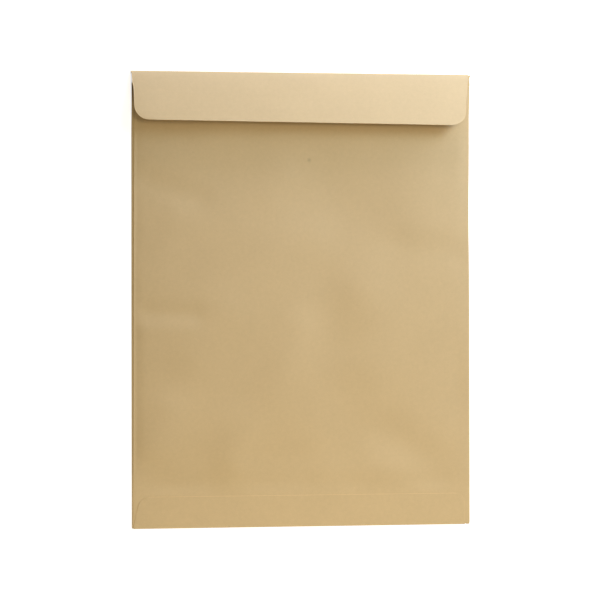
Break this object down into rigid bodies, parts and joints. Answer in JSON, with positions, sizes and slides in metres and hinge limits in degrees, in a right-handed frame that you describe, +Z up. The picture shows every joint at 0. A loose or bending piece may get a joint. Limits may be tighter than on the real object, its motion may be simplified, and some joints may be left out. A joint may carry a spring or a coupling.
{
  "type": "paper envelope",
  "caption": "Flat open-end kraft paper envelope with a glued side seam, a turned-up bottom flap and an unsealed closing flap that stands slightly open.",
  "frame": {"origin": "middle of the outline, on the plain front face that the envelope lies on", "axes": "+X across the envelope, +Y along it towards the closing flap's fold, +Z up from the back panel and flap"},
  "size_m": [0.2295, 0.305, 0.0091],
  "materials": {
    "kraft_paper": "matte"
  },
  "bodies": {
    "root": {"envelope": "kraft_paper"}
  },
  "joints": []
}
